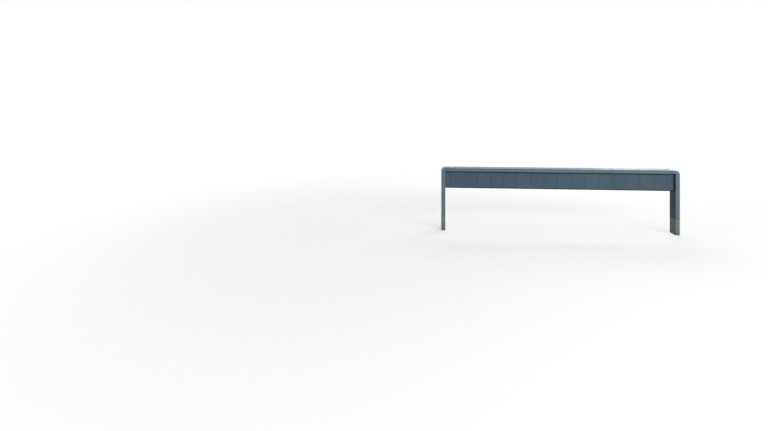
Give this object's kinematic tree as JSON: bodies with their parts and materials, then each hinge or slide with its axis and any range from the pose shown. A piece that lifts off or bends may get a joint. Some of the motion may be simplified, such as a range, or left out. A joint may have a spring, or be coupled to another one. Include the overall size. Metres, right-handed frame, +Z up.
{
  "type": "clad portal bridge over a road",
  "caption": "Inverted-U portal over a road: slim clad legs on concrete plinths, a light band over a recessed panel infill, and a steel box truss inside.",
  "frame": {"origin": "on the ground, midway between the two legs and midway from front to rear", "axes": "+X along the beam, to the right as seen from the front; +Y from the front to the rear; +Z up"},
  "size_m": [30, 1.65, 8.2],
  "materials": {
    "concrete": "matte",
    "frame_steel": "matte",
    "rail_aluminium": "satin",
    "infill_cladding": "satin",
    "ribbon_cladding": "satin",
    "top_cladding": "satin",
    "dark_trim": "satin"
  },
  "bodies": {
    "root": {"left_plinth": "concrete", "right_plinth": "concrete", "left_base_plates": "frame_steel", "right_base_plates": "frame_steel", "left_leg_frame": "frame_steel", "right_leg_frame": "frame_steel", "front_truss": "frame_steel", "rear_truss": "frame_steel", "truss_ties": "frame_steel", "cross_frames": "frame_steel", "left_leg_rails": "rail_aluminium", "right_leg_rails": "rail_aluminium", "band_rails": "rail_aluminium", "front_infill_rails": "rail_aluminium", "rear_infill_rails": "rail_aluminium", "soffit_rails": "rail_aluminium", "front_infill_panels": "infill_cladding", "rear_infill_panels": "infill_cladding", "front_band_fascia": "ribbon_cladding", "rear_band_fascia": "ribbon_cladding", "front_band_underside": "ribbon_cladding", "rear_band_underside": "ribbon_cladding", "top_sheets": "top_cladding", "beam_soffit": "infill_cladding", "front_bottom_trim": "dark_trim", "rear_bottom_trim": "dark_trim", "front_top_trim": "dark_trim", "rear_top_trim": "dark_trim", "left_leg_front": "ribbon_cladding", "left_leg_rear": "ribbon_cladding", "left_leg_outer": "ribbon_cladding", "left_leg_inner": "infill_cladding", "right_leg_front": "ribbon_cladding", "right_leg_rear": "ribbon_cladding", "right_leg_outer": "ribbon_cladding", "right_leg_inner": "infill_cladding", "left_corner_sheet": "ribbon_cladding", "right_corner_sheet": "ribbon_cladding", "left_corner_faces": "ribbon_cladding", "right_corner_faces": "ribbon_cladding"}
  },
  "joints": []
}
